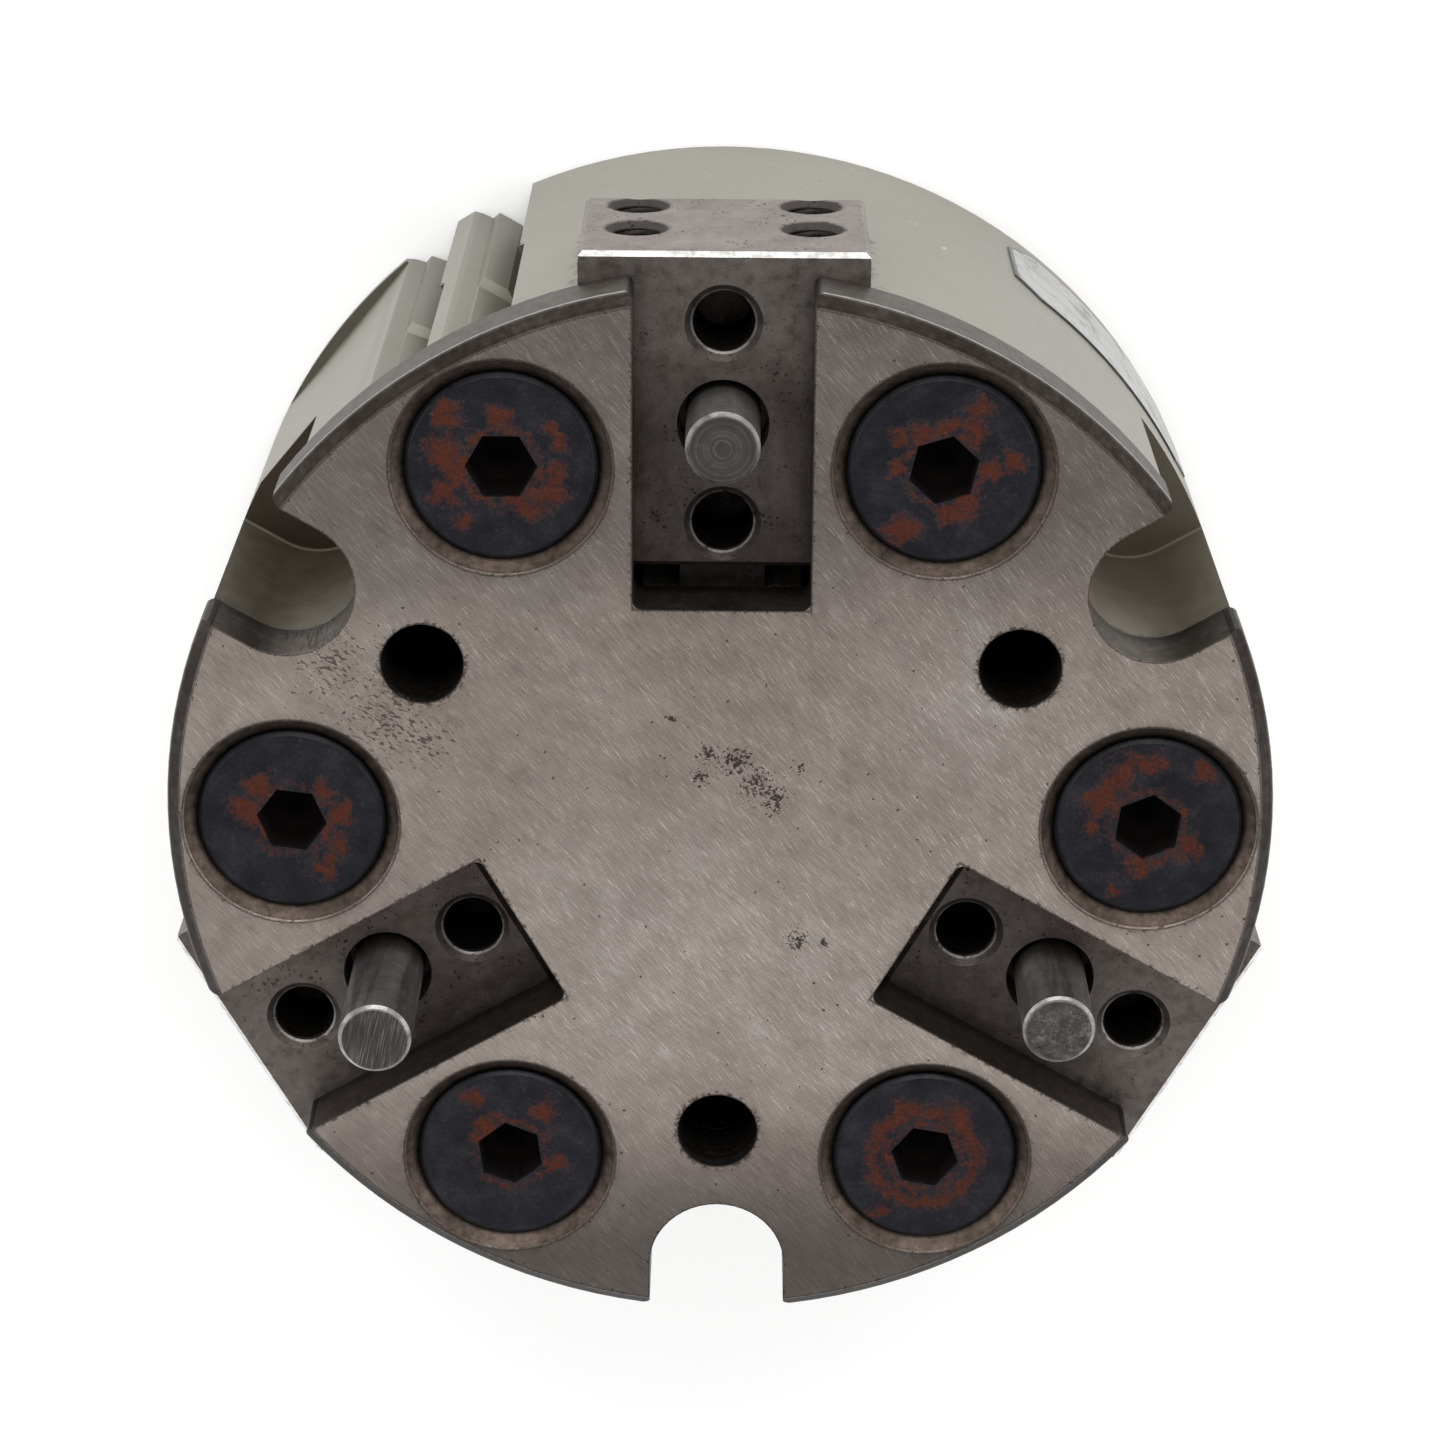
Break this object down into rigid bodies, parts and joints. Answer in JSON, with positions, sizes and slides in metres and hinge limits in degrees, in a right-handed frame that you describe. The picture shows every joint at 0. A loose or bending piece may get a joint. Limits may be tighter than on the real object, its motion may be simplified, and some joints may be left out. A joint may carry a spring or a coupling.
{
  "type": "pneumatic gripper",
  "caption": "Round pneumatic gripper: an air piston and wedge-hook driver move radial jaws outwards and inwards in slots under a steel front plate.",
  "frame": {"origin": "centre of the mounting bolt circle on the rear mounting face, on the gripper's axis", "axes": "+Z along the gripper's axis from the rear mounting face towards the jaws, +Y outwards along the first jaw, +X to its right seen from the front"},
  "size_m": [0.0916, 0.0912, 0.0586],
  "materials": {
    "anodised_housing": "hard-anodised satin olive grey",
    "ground_steel_plate": "ground, fine diagonal scratches",
    "black_oxide_screw": "black oxide with rust spots",
    "anodised_cover": "turned, anodised",
    "seal_rubber": "matt",
    "spring_steel": "phosphated",
    "bumper_rubber": "matt",
    "label_foil": "matt foil",
    "piston_aluminium": "turned",
    "guide_plastic": "matt",
    "bonded_magnet": "matt",
    "hardened_steel": "ground",
    "jaw_steel": "hardened, pitted and stained",
    "dowel_steel": "ground, bright"
  },
  "bodies": {
    "housing_body": {"housing": "anodised_housing", "front_plate": "ground_steel_plate", "plate_screws": "black_oxide_screw", "rear_cover": "anodised_cover", "cover_seal": "seal_rubber", "retaining_ring": "spring_steel", "rear_bumper": "bumper_rubber", "rod_seal": "seal_rubber", "rating_label": "label_foil"},
    "piston_body": {"piston": "piston_aluminium", "guide_band": "guide_plastic", "piston_seal": "seal_rubber", "magnet_ring": "bonded_magnet", "front_bumper": "bumper_rubber", "wedge_driver": "hardened_steel", "piston_screw": "black_oxide_screw"},
    "jaw_1_body": {"jaw_1": "jaw_steel", "jaw_pin_1": "dowel_steel"},
    "jaw_2_body": {"jaw_2": "jaw_steel", "jaw_pin_2": "dowel_steel"},
    "jaw_3_body": {"jaw_3": "jaw_steel", "jaw_pin_3": "dowel_steel"}
  },
  "joints": [
    {"name": "piston_slide", "type": "slide", "parent": "housing_body", "child": "piston_body", "axis": [0, 0, 1], "range_m": [0, 0.008]},
    {"name": "jaw_1_slide", "type": "slide", "parent": "housing_body", "child": "jaw_1_body", "axis": [0, 1, 0], "range_m": [0, 0.005]},
    {"name": "jaw_2_slide", "type": "slide", "parent": "housing_body", "child": "jaw_2_body", "axis": [-0.866, -0.5, 0], "range_m": [0, 0.005]},
    {"name": "jaw_3_slide", "type": "slide", "parent": "housing_body", "child": "jaw_3_body", "axis": [0.866, -0.5, 0], "range_m": [0, 0.005]}
  ],
  "couplings": [
    {"joint": "jaw_1_slide", "follows": "piston_slide", "ratio": 0.625},
    {"joint": "jaw_2_slide", "follows": "piston_slide", "ratio": 0.625},
    {"joint": "jaw_3_slide", "follows": "piston_slide", "ratio": 0.625}
  ]
}
